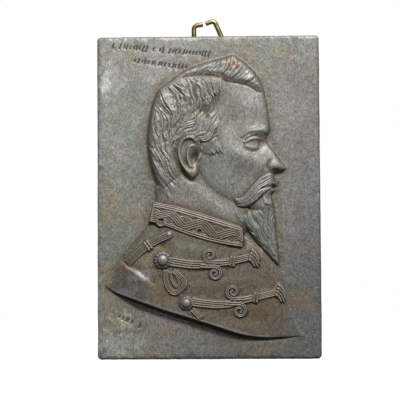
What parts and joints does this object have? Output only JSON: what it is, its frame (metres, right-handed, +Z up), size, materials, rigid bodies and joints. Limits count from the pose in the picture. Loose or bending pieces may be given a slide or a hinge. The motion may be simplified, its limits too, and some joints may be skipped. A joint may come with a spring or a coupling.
{
  "type": "commemorative plaque",
  "caption": "Rectangular cast metal wall plaque with a low relief profile bust in a braided coat, hung by a bent wire loop at its top edge.",
  "frame": {"origin": "middle of the plate's flat back, on the back's plane", "axes": "+Z up along the plate's height, +Y out of the flat back towards the wall, +X to the right seen from the front; the relief faces -Y"},
  "size_m": [0.138, 0.017, 0.2116],
  "materials": {
    "patinated_grey_metal": "dark grey cast metal, satin, with a brown film in its hollows and silvery rubbed ridges",
    "aged_brass": "dull olive brown brass wire"
  },
  "bodies": {
    "plaque": {"plaque": "patinated_grey_metal"},
    "hanging_loop": {"hanging_loop": "aged_brass"}
  },
  "joints": [
    {"name": "loop_swing", "type": "hinge", "parent": "plaque", "child": "hanging_loop", "pos_m": [0, 0.0021, 0.094], "axis": [-1, 0, 0], "range_deg": [0, 178]}
  ]
}
